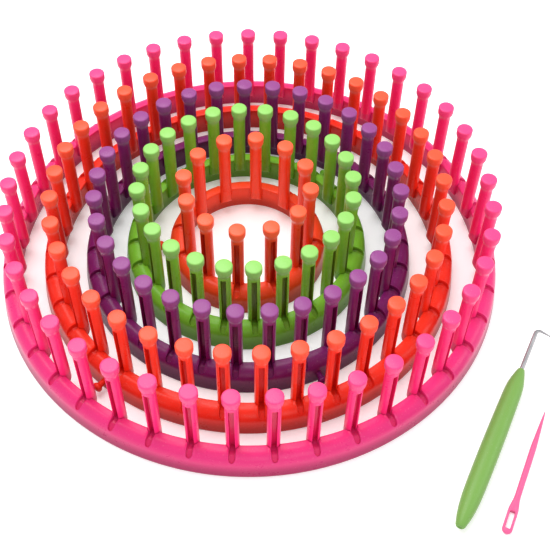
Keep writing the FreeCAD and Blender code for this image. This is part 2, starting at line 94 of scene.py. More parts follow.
def peg_axes(node):
    """Where the pegs of a node stand: the middle of each cluster of its highest points."""
    co = np.array([v.co[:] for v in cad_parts[node].data.vertices])
    tops = co[co[:, 2] > co[:, 2].max() - 0.02 * MM][:, :2]
    axes = []
    while len(tops):
        close = np.hypot(*(tops - tops[0]).T) < 6 * MM
        axes.append((tops[close].min(0) + tops[close].max(0)) / 2)
        tops = tops[~close]
    return np.array(axes)


for loom in LOOMS:
    middle, outer, inner = loom_middle(loom)
    count = sum(len(peg_axes("%s_loom_pegs_%s" % (loom, side))) for side in SIDES)
    print("%-12s middle %s outer %.1f mm pegs %d" % (loom, middle.round(4), outer / MM, count))

# %% [markdown]
# ## The camera and the room
# The set is seen from above the front edge, close enough that the near pegs are half as large
# again as the far ones. The camera looks at a point a little in front of the looms' middle and is
# rolled by about a degree, because it was held by hand. It comes first, so that every later piece
# can be judged through it.

# %% Camera
ground, _, _ = loom_middle("extra_large")
LOOK_DOWN = math.radians(52.0)
STAND_OFF = 580 * MM
ROLL = math.radians(1.35)
LENS = 64.4
AIM_RIGHT = 14.8 * MM
AIM_FORWARD = 14.1 * MM
look_at = Vector((ground[0] + AIM_RIGHT, ground[1] - AIM_FORWARD, 0))
camera_data = bpy.data.cameras.new("studio_camera")
camera_data.lens = LENS
camera_data.sensor_width = 36
camera_data.clip_start = 0.01
camera = bpy.data.objects.new("studio_camera", camera_data)
bpy.context.scene.collection.objects.link(camera)
back = Vector((0, -math.cos(LOOK_DOWN), math.sin(LOOK_DOWN)))
turn = (-back).to_track_quat("-Z", "Y").to_matrix().to_4x4()
camera.matrix_world = (
    Matrix.Translation(look_at + back * STAND_OFF) @ turn @ Matrix.Rotation(ROLL, 4, "Z")
)
bpy.context.scene.camera = camera
print("camera at", [round(v, 3) for v in camera.location], "lens", LENS)

# %% [markdown]
# Product plastic looks best under one very large soft lamp overhead, which draws a broad white
# sheen along every rounded edge, and a weaker one from the front that fills the shadows. The room
# itself is white, so the floor is nearly white too and throws light back up into the rings.

# %% Lights and world


def area_light(name, place, aim, size, power):
    """A square soft lamp that points at aim."""
    data = bpy.data.lights.new(name, "AREA")
    data.shape = "SQUARE"
    data.size = size
    data.energy = power
    lamp = bpy.data.objects.new(name, data)
    bpy.context.scene.collection.objects.link(lamp)
    lamp.location = place
    lamp.rotation_euler = (Vector(aim) - Vector(place)).to_track_quat("-Z", "Y").to_euler()
    return lamp


area_light("overhead_softbox", (-0.25, 0.35, 1.1), (0, 0, 0), 0.9, 14)
area_light("front_fill", (0.35, -1.2, 0.75), (0, 0, 0), 0.8, 4)
area_light("side_fill", (1.1, 0.1, 0.6), (0, 0, 0), 0.6, 3)
world = bpy.data.worlds.new("white_room")
world.use_nodes = True
world.node_tree.nodes["Background"].inputs["Color"].default_value = (1, 1, 1, 1)
world.node_tree.nodes["Background"].inputs["Strength"].default_value = 0.75
bpy.context.scene.world = world
bpy.context.scene.view_settings.view_transform = "Standard"

# %% [markdown]
# ## Shader maths
# A material is a graph of nodes. Written out by hand, each sum in it takes four lines, so one small
# class wraps a socket and lets plain Python operators add the Math nodes. Colours have a Mix node
# instead, because a Math node would turn them grey.

# %% A socket that can be used in sums


class Wire:
    """An output of a node, or a plain number, that can be used in an expression."""

    def __init__(self, tree, socket):
        self.tree = tree
        self.socket = socket

    def node(self, kind, settings=None, sockets=None, out=0):
        """Adds any node: its settings first, then the values or links of its sockets."""
        made = self.tree.nodes.new(kind)
        for key, value in (settings or {}).items():
            if key == "stops":
                for k, (place, colour) in enumerate(value):
                    ramp = made.color_ramp.elements
                    stop = ramp[k] if k < len(ramp) else ramp.new(place)
                    stop.position = place
                    stop.color = (*colour, 1)
            else:
                setattr(made, key, value)
        for key, value in (sockets or {}).items():
            if isinstance(value, Wire):
                self.tree.links.new(value.socket, made.inputs[key])
            else:
                made.inputs[key].default_value = value
        return Wire(self.tree, made.outputs[out])

    def math(self, operation, *values):
        return self.node("ShaderNodeMath", {"operation": operation}, dict(enumerate(values)))

    def __add__(self, other):
        return self.math("ADD", self, other)

    __radd__ = __add__

    def __sub__(self, other):
        return self.math("SUBTRACT", self, other)

    def __rsub__(self, other):
        return self.math("SUBTRACT", other, self)

    def __mul__(self, other):
        return self.math("MULTIPLY", self, other)

    __rmul__ = __mul__

    def above(self, start, end):
        """0 below start, 1 above end, and a smooth step between."""
        return self.node(
            "ShaderNodeMapRange",
            {"interpolation_type": "SMOOTHSTEP"},
            {"Value": self, "From Min": start, "From Max": end},
        )

    def mix(self, first, second):
        """A colour between two colours, with this value as the factor."""
        made = self.node("ShaderNodeMix", {"data_type": "RGBA"}, {0: self})
        mixer = made.socket.node
        for slot, colour in ((6, first), (7, second)):
            if isinstance(colour, Wire):
                self.tree.links.new(colour.socket, mixer.inputs[slot])
            else:
                mixer.inputs[slot].default_value = (*colour, 1)
        return Wire(self.tree, mixer.outputs[2])


print("Wire adds Math nodes for + - *")

# %% [markdown]
# Every finish starts the same way: a Principled shader, and the point of the surface in metres in
# the piece's own space, so that a pattern stays on the piece when it is lifted. The helper returns
# both, and the noise below is used again and again at different sizes.

# %% Start a finish


def finish(name, **constants):
    """A new material, its shader, and a wire with the place on the piece in metres."""
    material = bpy.data.materials.new(name)
    material.use_nodes = True
    tree = material.node_tree
    shader = tree.nodes["Principled BSDF"]
    for key, value in constants.items():
        shader.inputs[key.replace("_", " ")].default_value = value
    place = Wire(tree, None).node("ShaderNodeTexCoord", out="Object")
    return material, shader, place


def feed(shader, name, wire):
    wire.tree.links.new(wire.socket, shader.inputs[name])


def noise(place, scale, detail=2.0, rough=0.5):
    """Soft random spots, about 1/scale metres across, from 0 to 1."""
    sockets = {"Vector": place, "Scale": scale, "Detail": detail, "Roughness": rough}
    return place.node("ShaderNodeTexNoise", None, sockets)


def bumped(height, strength, depth):
    return height.node(
        "ShaderNodeBump", None, {"Height": height, "Strength": strength, "Distance": depth}, "Normal"
    )


# %% [markdown]
# ## Moulded plastic
# The rings and pegs are injection moulded in a glossy, slightly milky plastic. Two things tell it from
# a plain colour. Pigment is never quite even, so the colour drifts by a few percent over some
# centimetres. The surface has the faint waviness of a mould and fine handling marks, which break up its
# gloss. Light and shade are painted into the colour as well. The peg heads, lit from above, are painted
# paler by height above the table: a painted highlight. Little light reaches the grooves, the trenches
# and the rings' feet, so they are painted darker: painted shade. The meshes say with a number named
# hollow where the painted shade of a groove or trench goes.

# %% Plastic


LIT_HEAD_BLEND = (50.0 * MM, 55.0 * MM)
STEM_BLEND = (14.0 * MM, 16.5 * MM)
FOOT_SHADE_BLEND = (2.0 * MM, 11.0 * MM)
FOOT_SHADE_TONE = 0.42
HOLLOW_SHADE_TONE = (0.72, 0.3, 0.42)


def plastic(name, deep, pale, head, ring, gloss=0.3, foot_shade_share=0.8):
    """Glossy moulded plastic. deep and pale are the stem's colours, ring the ring's; head is the head's
    colour painted paler, a painted highlight of the light from above.
    """
    material, shader, place = finish(name, IOR=1.46, Coat_Roughness=0.2, Specular_IOR_Level=0.2)
    height = place.node("ShaderNodeSeparateXYZ", None, {0: place}, 2)
    drift = noise(place, 38, 3).above(0.3, 0.7)
    cloud = noise(place, 210, 2).above(0.25, 0.75)
    stem = (drift * 0.6 + cloud * 0.4).mix(deep, pale)
    # painted highlight: the peg heads are painted paler by height, standing in for the light from above
    high = height.above(*LIT_HEAD_BLEND)
    low = 1 - height.above(*STEM_BLEND)
    colour = (high * 0.9).mix(stem, head)
    colour = (low * 0.92).mix(colour, ring)
    # painted shade: the colour is darkened towards the table at the foot of each piece
    foot = 1 - height.above(*FOOT_SHADE_BLEND)
    colour = (foot * foot_shade_share).mix(colour, tuple(FOOT_SHADE_TONE * part for part in ring))
    # painted shade in the grooves and trenches, driven by the hollow number that each mesh carries
    hollow_shade = place.node("ShaderNodeAttribute", {"attribute_name": "hollow_shade"}, None, "Fac")
    shaded = tuple(tone * part for tone, part in zip(HOLLOW_SHADE_TONE, deep))
    colour = (hollow_shade * 0.7).mix(colour, shaded)
    speck = noise(place, 1500, 1).above(0.66, 0.74)
    colour = (speck * 0.05).mix(colour, (1, 1, 1))
    feed(shader, "Base Color", colour)
    smudge = noise(place, 95, 4, 0.6)
    fine = noise(place, 900, 2)
    feed(shader, "Roughness", smudge * 0.16 + fine * 0.08 + (gloss - 0.12))
    feed(shader, "Coat Weight", 0.1 - smudge * 0.08)
    wave = noise(place, 260, 2)
    grain = noise(place, 2600, 2)
    feed(shader, "Normal", bumped(wave * 0.7 + grain * 0.3, 0.12, 0.25 * MM))
    return material


PINK = plastic(
    "pink_moulded", (0.86, 0.016, 0.15), (0.90, 0.026, 0.19), (0.82, 0.060, 0.21), (0.67, 0.031, 0.175)
)
ORANGE = plastic(
    "orange_moulded", (0.90, 0.026, 0.008), (0.94, 0.042, 0.012), (0.92, 0.09, 0.04),
    (0.76, 0.028, 0.013),
)
PURPLE = plastic(
    "purple_moulded", (0.17, 0.005, 0.11), (0.22, 0.010, 0.15), (0.25, 0.060, 0.22),
    (0.15, 0.010, 0.10),
)
GREEN = plastic(
    "green_moulded", (0.17, 0.46, 0.02), (0.23, 0.55, 0.03), (0.25, 0.53, 0.13),
    (0.16, 0.42, 0.025),
)
WARM = plastic(
    "light_orange_moulded", (0.88, 0.045, 0.010), (0.93, 0.065, 0.016), (0.92, 0.11, 0.045),
    (0.82, 0.055, 0.014),
)
LOOM_FINISH = dict(zip(LOOMS, (PINK, ORANGE, PURPLE, GREEN, WARM)))
print("plastics:", PINK.name, ORANGE.name, PURPLE.name, GREEN.name)

# %% [markdown]
# The floor is a sheet of matt white paper. Paper isn't perfectly even either, so it gets a weak
# fibre grain.

# %% Floor
paper, paper_shader, paper_place = finish("white_paper", Specular_IOR_Level=0.1, Emission_Strength=0.22)
fibre = noise(paper_place, 420, 4, 0.7)
feed(paper_shader, "Base Color", fibre.mix((0.90, 0.90, 0.905), (0.93, 0.93, 0.93)))
feed(paper_shader, "Emission Color", fibre.mix((0.97, 0.98, 0.98), (1.0, 1.0, 1.0)))
feed(paper_shader, "Roughness", fibre * 0.1 + 0.85)
feed(paper_shader, "Normal", bumped(fibre, 0.05, 0.1 * MM))


def mesh_piece(name, points, faces, material, smooth=30.0, hollow_shade=None):
    """A mesh object from points in metres. Edges sharper than smooth degrees stay crisp.
    hollow says for each point how much painted shade darkens it in a groove or trench, from 0 to 1."""
    mesh = bpy.data.meshes.new(name)
    mesh.from_pydata([tuple(p) for p in points], [], [tuple(f) for f in faces])
    mesh.validate()
    mesh.shade_smooth()
    mesh.set_sharp_from_angle(angle=math.radians(smooth))
    mesh.materials.append(material)
    if hollow_shade is not None:
        mesh.attributes.new("hollow_shade", "FLOAT", "POINT").data.foreach_set("value", hollow_shade)
    piece = bpy.data.objects.new(name, mesh)
    bpy.context.scene.collection.objects.link(piece)
    return piece


FLOOR_HALF = 6.0
floor = mesh_piece(
    "floor",
    [(x * FLOOR_HALF, y * FLOOR_HALF, -0.1 * MM) for x, y in ((-1, -1), (1, -1), (1, 1), (-1, 1))],
    [(0, 1, 2, 3)],
    paper,
)
floor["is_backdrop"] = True
print("floor", floor.dimensions[:])

# %% [markdown]
# ## Lofting
# Pegs, knobs, tools and rings are all long shapes with a changing section. The simplest exact way
# to build one is to write its sections as loops with the same number of points and join each loop
# to the next with quads. Rounded edges come from loops set close together.

# %% Loft helper


def loft(loops, ring=False):
    """Quads between loops of equal length, closed by fans or, as a ring, by the first loop."""
    loops = [np.asarray(loop, float) for loop in loops]
    n = len(loops[0])
    points = np.concatenate(loops)
    faces = []
    rows = len(loops) if ring else len(loops) - 1
    for i in range(rows):
        a = i * n
        b = ((i + 1) % len(loops)) * n
        for j in range(n):
            k = (j + 1) % n
            faces.append((a + j, a + k, b + k, b + j))
    if not ring:
        points = np.vstack([points, loops[0].mean(0)])
        faces += [(len(points) - 1, (j + 1) % n, j) for j in range(n)]
        points = np.vstack([points, loops[-1].mean(0)])
        a = (len(loops) - 1) * n
        faces += [(len(points) - 1, a + j, a + (j + 1) % n) for j in range(n)]
    return points, faces


def smoothstep(t):
    t = np.clip(t, 0, 1)
    return t * t * (3 - 2 * t)


print("loft ready")

# %% [markdown]
# ## One peg
# A peg is a round stem with a matchstick head. A groove runs down its outer face, so that the hook
# can get under the loop of yarn, and it leaves two rails with soft edges. The stem hangs a few
# millimetres down inside the ring and ends in a slanted tip. Each section has 30 points on the
# round part and 17 that either follow the groove or, above and below it, the round front.

# %% Peg sections
STEM_R = 3.5
HEAD_R = 4.6
TOP = 60.0
GROOVE_HALF = 1.4
GROOVE_FLOOR = 0.05
EDGE = 0.3
GROOVE_FROM = 13.0
GROOVE_TO = 50.4
ROUND_POINTS = 30
GROOVE_POINTS = 17
TIP_FROM = 6.0
TIP_RISE = 4.0
NECK_FROM = 51.8
NECK_LONG = 4.3
RIM = 0.85
DOME = 0.2


def stem_section(radius, grooved):
    """Outline of a peg's section in millimetres, the loom's outside towards +X."""
    lip = math.asin((GROOVE_HALF + EDGE) / radius)
    around = np.linspace(lip, 2 * math.pi - lip, ROUND_POINTS)
    outline = np.c_[np.cos(around), np.sin(around)] * radius
    if grooved:
        rim = math.sqrt(radius * radius - (GROOVE_HALF + EDGE) ** 2)
        half = [
            (rim + 0.10, -GROOVE_HALF - 0.18),
            (rim + 0.08, -GROOVE_HALF - 0.06),
            (rim - 0.06, -GROOVE_HALF),
            (rim - 0.5, -GROOVE_HALF),
            (rim * 0.45, -GROOVE_HALF),
            (GROOVE_FLOOR + 0.5, -GROOVE_HALF),
            (GROOVE_FLOOR + 0.14, -GROOVE_HALF + 0.14),
            (GROOVE_FLOOR, -GROOVE_HALF + 0.5),
        ]
        inside = np.array(half + [(GROOVE_FLOOR, 0)] + [(x, -y) for x, y in reversed(half)])
    else:
        front = np.linspace(-lip, lip, GROOVE_POINTS + 2)[1:-1]
        inside = np.c_[np.cos(front), np.sin(front)] * radius
    return np.vstack([outline, inside])


def at_height(section, z):
    return np.c_[section, np.full(len(section), z)]


def peg_loops():
    """All sections of a peg from its slanted tip to the top of its head."""
    plain = stem_section(STEM_R, False)
    slot = stem_section(STEM_R, True)
    slant = TIP_FROM + TIP_RISE * np.clip((0.5 - plain[:, 0]) / 4.0, 0, 1)
    loops = []
    for shrink, rise in ((0.78, 0.0), (0.93, 0.1), (1.0, 0.5)):
        loops.append(np.c_[plain * shrink, slant + rise])
    for z in (11.5, GROOVE_FROM - 0.05):
        loops.append(at_height(plain, z))
    for z in (GROOVE_FROM + 0.05, 15.0, 22.0, 30.0, 40.0, GROOVE_TO - 0.45):
        loops.append(at_height(slot, z))
    middle = slot * 0.65 + plain * 0.35
    loops.append(at_height(middle, GROOVE_TO - 0.12))
    loops.append(at_height(plain, GROOVE_TO + 0.1))
    loops.append(at_height(plain, GROOVE_TO + 0.6))
    for t in np.linspace(0, 1, 9):
        radius = STEM_R + (HEAD_R - STEM_R) * float(smoothstep(t))
        loops.append(at_height(plain * radius / STEM_R, NECK_FROM + NECK_LONG * t))
    for t in np.linspace(0, 1, 6):
        a = t * math.pi / 2
        radius = HEAD_R - RIM + RIM * math.cos(a)
        loops.append(at_height(plain * radius / STEM_R, TOP - DOME - RIM + RIM * math.sin(a)))
    for share in (0.75, 0.45, 0.15):
        lift = DOME * (1 - share * share)
        loops.append(at_height(plain * share * (HEAD_R - RIM) / STEM_R, TOP - DOME + lift))
    return loops


PEG_POINTS, PEG_FACES = loft(peg_loops())
# painted shade: points inside a peg's groove get a hollow number of 1, which darkens them
PEG_HOLLOW_SHADE = (
    (np.abs(PEG_POINTS[:, 1]) < GROOVE_HALF + 0.01)
    & (PEG_POINTS[:, 0] > 0)
    & (np.hypot(PEG_POINTS[:, 0], PEG_POINTS[:, 1]) < STEM_R - 0.4)
    & (PEG_POINTS[:, 2] > GROOVE_FROM)
    & (PEG_POINTS[:, 2] < GROOVE_TO)
).astype(float)
print("one peg:", len(PEG_POINTS), "points,", len(PEG_FACES), "faces")

# %% [markdown]
# A set of pegs that share a side of a ring is one piece in the measured model, so it is one mesh
# here too. Each peg is turned so that its groove faces away from the loom's middle. No two pegs
# sit quite alike in a pressed assembly, so each leans by a tenth of a degree or so, from a seeded
# random source that gives the same answer every time.

# %% Peg groups
jitter = np.random.default_rng(7)
for loom in LOOMS:
    middle, outer, inner = loom_middle(loom)
    made = 0
    for side in SIDES:
        node = "%s_loom_pegs_%s" % (loom, side)
        points = []
        faces = []
        for axis in peg_axes(node):
            outward = axis - middle
            angle = math.atan2(outward[1], outward[0])
            c, s = math.cos(angle), math.sin(angle)
            lean = jitter.normal(0, 0.0016, 2)
            local = PEG_POINTS * MM
            over = np.clip(local[:, 2] - 15 * MM, 0, None)
            x = local[:, 0] + over * lean[0]
            y = local[:, 1] + over * lean[1]
            spot = np.c_[axis[0] + c * x - s * y, axis[1] + s * x + c * y, local[:, 2]]
            base = len(points) * len(PEG_POINTS)
            faces += [tuple(base + i for i in face) for face in PEG_FACES]
            points.append(spot)
        made += len(points)
        group = mesh_piece(
            node + "_moulded", np.concatenate(points), faces, LOOM_FINISH[loom], 38,
            np.tile(PEG_HOLLOW_SHADE, len(points)),
        )
        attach(group, loom + "_loom")
        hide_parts(node)
    print(loom, "pegs:", made)

# %% [markdown]
# ## A ring
# A ring is a hollow channel: a plain inner wall, a narrow flat top, a wide rounded shoulder and an
# outer wall that leans in. In front of each peg a short trench runs outward down the shoulder and
# stops in a round end, with a low lip round it. Modelling that with booleans would leave
# ragged shading, so the whole ring is one loft: its section is written once as a list of points,
# and swept round in columns that crowd together near each peg. Every point then asks how far it is
# from its peg's trench and moves down or up by that distance. Near a stem the top makes room.

# %% Ring section
HEIGHT = 15.0
FLOOR_Z = 13.0
SHOULDER = 6.5
BAND = 2.8
TRENCH_HALF = 1.6
TRENCH_LEVEL = 4.8
TRENCH_TO = 8.7
TRENCH_FALL = 2.6 / (TRENCH_TO - TRENCH_LEVEL)
PEG_INSET = 1.0
NOTCH_R = 3.56
RIB_HALF = 4.3
LIP_HIGH = 0.3
SQUEEZE_TO = 5.0


def ring_section():
    """Pairs of distance outward from the inner wall and height, and whether it is inside."""
    wall = [(0.0, z) for z in (0.35, 3.0, 5.9, 6.05, 9.0, 12.6, 13.1, 14.15)]
    rounding = [(0.07, 14.5), (0.24, 14.77), (0.5, 14.94), (0.82, 15.0)]
    top = [(x, HEIGHT) for x in (1.2, 1.7, 2.3)]
    shoulder = []
    for a in (0, 6, 12, 18, 24, 30, 36, 41, 46, 51, 55, 58, 60.5, 63, 65, 67, 69.5, 73, 78, 84, 89):
        b = math.radians(a)
        shoulder.append((BAND + SHOULDER * math.sin(b), HEIGHT - SHOULDER * (1 - math.cos(b))))
    outside = [(9.5, 7.0), (9.93, 4.0), (10.28, 1.5), (10.42, 0.45), (10.3, 0.08)]
    outside += [(9.9, 0.0), (8.8, 0.0)]
    cave = [(8.45, 0.3), (7.9, 5.0), (7.35, 9.6), (6.0, 11.1), (4.3, 12.75), (2.3, 12.7)]
    cave += [(2.0, 12.3), (2.0, 6.0), (2.0, 0.3)]
    foot = [(1.8, 0.0), (0.4, 0.0), (0.1, 0.08)]
    shell = wall + rounding + top + shoulder + outside
    return np.array(shell + cave + foot), len(shell), len(shell) + len(cave)


SECTION, CAVE_START, CAVE_END = ring_section()
print("ring section:", len(SECTION), "points")

# %% [markdown]
# The columns are measured sideways from the peg's own radial line in millimetres, because the
# trench has straight parallel walls. Past the rib they fan out evenly to the middle between pegs.

# %% Sweep a ring
SIDEWAYS = [0.0, 0.7, 1.2, 1.45, 1.62, 1.82, 2.1, 2.45, 2.85, 3.4, 3.6, 4.25, 4.4]
FAN = 3


def column_angles(radius, half_angle):
    """Angles of one peg's columns at a given radius, left to right, the last border left out."""
    side = [math.asin(y / radius) for y in SIDEWAYS]
    fan = [side[-1] + (half_angle - side[-1]) * k / FAN for k in range(1, FAN + 1)]
    half = side + fan
    return np.array([-a for a in reversed(half)] + half[1:-1])


def crown(out):
    """Height of the plain ring at a distance outward from its inner wall."""
    down = np.clip(out - BAND, 0, SHOULDER)
    return HEIGHT - SHOULDER + np.sqrt(SHOULDER**2 - down**2)


def trench_distance(x, y, inner):
    """Distance from the trench's edge: negative inside it."""
    end = inner + TRENCH_TO - TRENCH_HALF
    beyond = np.maximum(x - end, 0)
    return np.hypot(beyond, y) - TRENCH_HALF


def ring_column_points(inner, half_angle):
    """All points of one peg's stretch of ring, in the peg's own frame: rows by columns. The fourth
    number of a point says how much painted shade darkens it in the trench."""
    rows = []
    for k, (out, z) in enumerate(SECTION):
        radius = inner + out
        angle = column_angles(radius, half_angle)
        x = radius * np.cos(angle)
        y = radius * np.sin(angle)
        height = np.full(len(angle), z)
        trench_shade = np.zeros(len(angle))
        if k < CAVE_START:
            beyond = trench_distance(x, y, inner)
            open_share = 1 - smoothstep((beyond + 0.2) / 0.34)
            lip = LIP_HIGH * np.exp(-(((beyond - 0.5) / 0.4) ** 2))
            lift = np.where((beyond > -0.1) & (z > 9.0) & (out > 0.3), lip, 0)
            height = height + lift
            floor_z = FLOOR_Z - TRENCH_FALL * max(min(out, TRENCH_TO) - TRENCH_LEVEL, 0)
            deep = (height > floor_z) & (out < TRENCH_TO + 0.5)
            # painted shade: how far inside the trench a point lies becomes its hollow number, which
            # darkens it
            trench_shade = np.where(deep, open_share, 0) * 0.6
            height = np.where(deep, height + (floor_z - height) * open_share, height)
            near = np.abs(y) < NOTCH_R
            notch = np.sqrt(np.clip(NOTCH_R**2 - y**2, 0, None)) - PEG_INSET
            notch = np.where(near & (z > 6), np.clip(notch, 0, None), 0)
            squeezed = notch + max(out, 0) * (SQUEEZE_TO - notch) / SQUEEZE_TO
            moved = np.where(out < SQUEEZE_TO, squeezed, out)
            shift = (moved - out) * (notch > 0)
            if z > FLOOR_Z:
                height = height + (crown(out + shift) - crown(out)) * (1 - open_share)
            x = x + shift
        elif k < CAVE_END:
            rib = 1 - smoothstep((np.abs(y) - RIB_HALF) / 0.12)
            height = height + (np.minimum(height, 1.0) - height) * rib
        rows.append(np.c_[x, y, height, trench_shade])
    return np.array(rows)


for loom in LOOMS:
    middle, outer, inner = loom_middle(loom)
    axes = np.vstack([peg_axes("%s_loom_pegs_%s" % (loom, side)) for side in SIDES])
    turns = np.sort(np.arctan2(axes[:, 1] - middle[1], axes[:, 0] - middle[0]))
    stretch = ring_column_points(inner / MM, math.pi / len(turns))
    columns = []
    trench_shade = []
    for angle in turns:
        c, s = math.cos(angle), math.sin(angle)
        for j in range(stretch.shape[1]):
            x, y, z = stretch[:, j, :3].T * MM
            trench_shade.append(stretch[:, j, 3])
            columns.append(np.c_[middle[0] + c * x - s * y, middle[1] + s * x + c * y, z])
    points, faces = loft(columns, ring=True)
    node = loom + "_loom_ring"
    ring = mesh_piece(
        node + "_moulded", points, faces, LOOM_FINISH[loom], 42, np.concatenate(trench_shade)
    )
    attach(ring, loom + "_loom")
    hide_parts(node)
    print(node, "points", len(points), "faces", len(faces))

# %% [markdown]
# ## Yarn anchors
# A small mushroom knob stands out of each ring's outer wall and holds the end of the yarn. It is
# turned about its own axis, so a lathe profile does it: a neck, a flare and a domed head.

# %% Yarn anchors


def turned_piece(profile, start, direction, around=36, wobble=None):
    """A lathed mesh. profile holds distance along and radius in metres."""
    along = np.array(direction, float)
    along /= np.linalg.norm(along)
    up = np.array((0.0, 0.0, 1.0))
    side = np.cross(up, along)
    side /= np.linalg.norm(side)
    loops = []
    for distance, radius in profile:
        a = np.linspace(0, 2 * math.pi, around, endpoint=False)
        r = radius * (wobble(a, distance) if wobble else np.ones(around))
        ring_of = np.outer(np.cos(a) * r, side) + np.outer(np.sin(a) * r, up)
        loops.append(np.array(start) + along * distance + ring_of)
    return loft(loops)


ANCHOR = [
    (0, 1.55), (0.2, 1.7), (5.0, 1.7), (5.35, 1.78), (5.7, 2.05), (6.2, 2.5), (6.6, 2.78),
    (7.0, 2.88), (7.5, 2.82), (8.0, 2.55), (8.4, 2.15), (8.7, 1.6), (8.9, 0.95), (8.98, 0.35),
]
for loom in LOOMS:
    node = loom + "_loom_yarn_anchor"
    middle, outer, inner = loom_middle(loom)
    low, high = corners(node)
    centre = (low + high) / 2
    outward = np.array([centre[0] - middle[0], centre[1] - middle[1], 0])
    outward /= np.linalg.norm(outward)
    seat = np.array([middle[0], middle[1], centre[2]]) + outward * (outer - 3.0 * MM)
    profile = [(x * MM, r * MM) for x, r in ANCHOR]
    points, faces = turned_piece(profile, seat, outward)
    knob = mesh_piece(node + "_moulded", points, faces, LOOM_FINISH[loom], 50)
    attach(knob, loom + "_loom")
    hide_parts(node)
print("yarn anchors:", len(LOOMS))

# %% [markdown]
# ## The hook tool
# The handle is a long green grip: a narrowing tail with a moulding dimple at its end, an almost
# straight body with a soft flat along its upper side, and a short nose that closes round the wire.
# Its axis is found from the measured node: the main direction of its points in plan, from one end of
# their spread to the other.

# %% Find the tools' axes


def long_axis(node):
    """Ends of a long thin node in plan: the middle of each end, and the unit direction."""
    co = np.array([v.co[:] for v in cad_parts[node].data.vertices])
    flat = co[:, :2] - co[:, :2].mean(0)
    _, _, axes = np.linalg.svd(flat, full_matrices=False)
    along = axes[0] * (1 if axes[0][1] > 0 else -1)
    t = flat @ along
    across = flat @ np.array([-along[1], along[0]])
    middle = co[:, :2].mean(0) + np.array([-along[1], along[0]]) * (across.max() + across.min()) / 2
    start = middle + along * t.min()
    return np.array([*start, (co[:, 2].max() + co[:, 2].min()) / 2]), np.array([*along, 0.0]), np.ptp(t)


handle_start, handle_way, handle_long = long_axis("hook_tool_handle")
print("handle from", handle_start.round(4), "way", handle_way.round(3), "long", round(handle_long, 4))

# %% Handle
GRIP = [
    (0.45, 0.9), (0.3, 1.0), (0.08, 1.15), (0.0, 1.5), (0.1, 1.9), (0.45, 2.25), (1.2, 2.62),
    (3, 3.1), (6, 3.75), (10, 4.4), (15, 4.9), (20, 5.16), (26, 5.32), (36, 5.45), (46, 5.5),
    (58, 5.44), (70, 5.24), (80, 5.02), (86, 4.86), (90, 4.5), (94, 3.75), (97.5, 2.9),
    (100, 2.2), (100.7, 1.95), (100.95, 1.6), (100.9, 1.26), (100.0, 1.24),
]


def soft_flats(angle, distance):
    """The grip is a little flatter above and to the side than a round bar."""
    share = 0.03 * math.sin(math.pi * min(max(distance / handle_long, 0), 1))
    return 1 - share * (1 - np.cos(4 * (angle - math.pi / 4))) / 2


grip_points, grip_faces = turned_piece(
    [(x * MM, r * MM) for x, r in GRIP], handle_start, handle_way, 48, soft_flats
)
LEAF = plastic(
    "leaf_green_grip", (0.14, 0.30, 0.06), (0.17, 0.34, 0.075), (0.2, 0.36, 0.1), (0.16, 0.32, 0.07),
    gloss=0.42, foot_shade_share=0.1,
)
grip = mesh_piece("hook_tool_grip", grip_points, grip_faces, LEAF, 50)
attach(grip, "hook_tool")
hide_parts("hook_tool_handle")
print("grip faces", len(grip_faces))

# %% [markdown]
# The hook is one steel wire, bent sharply near its end into a short arm that thins to a blunt point. A
# wire like that is a circle swept along a path, with its own radius at every step. The steel is drawn,
# so it has fine scratches.

# %% Steel
steel, steel_shader, steel_place = finish("drawn_steel", Metallic=1.0, Specular_IOR_Level=0.5)
stripes = noise(steel_place, 1900, 3, 0.65)
tarnish = noise(steel_place, 90, 3)
feed(steel_shader, "Base Color", tarnish.mix((0.24, 0.24, 0.25), (0.40, 0.40, 0.41)))
feed(steel_shader, "Roughness", stripes * 0.18 + tarnish * 0.1 + 0.22)
feed(steel_shader, "Normal", bumped(stripes, 0.1, 0.05 * MM))
print("steel:", steel.name)

# %% Hook wire
WIRE_R = 1.2
BEND_R = 2.4
TURN = math.radians(101)
ARM = 5.4
POINT_R = 0.42
BURIED = 10.0
FREE = 27.0


def wire_path():
    """Points of the wire's middle line in millimetres, x along the handle, with radii."""
    path = [(x, 0.0, WIRE_R) for x in np.linspace(-BURIED, FREE, 12)]
    for t in np.linspace(0, 1, 12)[1:]:
        a = t * TURN
        path.append((FREE + BEND_R * math.sin(a), -BEND_R * (1 - math.cos(a)), WIRE_R - 0.5 * t))
    x, y, r = path[-1]
    for t in np.linspace(0, 1, 8)[1:]:
        radius = r + (POINT_R - r) * t**0.8
        path.append((x + math.cos(TURN) * ARM * t, y - math.sin(TURN) * ARM * t, radius))
    return path


def swept(path, origin, way, around=20):
    """A tube along a path in the plane of the floor; the last loops round its end."""
    side = np.array([-way[1], way[0], 0.0])
    up = np.array([0.0, 0.0, 1.0])
    spots = [np.array(origin) + way * x * MM + side * y * MM for x, y, _ in path]
    loops = []
    for k, (_, _, radius) in enumerate(path):
        ahead = spots[min(k + 1, len(spots) - 1)] - spots[max(k - 1, 0)]
        ahead /= np.linalg.norm(ahead)
        across = np.cross(up, ahead)
        a = np.linspace(0, 2 * math.pi, around, endpoint=False)
        rim = np.outer(np.cos(a), across) + np.outer(np.sin(a), up)
        loops.append(spots[k] + rim * radius * MM)
        if k == len(path) - 1:
            for step, share in ((0.45, 0.9), (0.8, 0.6), (0.98, 0.25)):
                loops.append(spots[k] + ahead * step * radius * MM + rim * share * radius * MM)
    return loft(loops)


nose = handle_start + handle_way * handle_long
points, faces = swept(wire_path(), nose, handle_way)
hook = mesh_piece("hook_tool_wire", points, faces, steel, 60)
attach(hook, "hook_tool")
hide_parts("hook_tool_hook")
print("hook wire faces", len(faces))

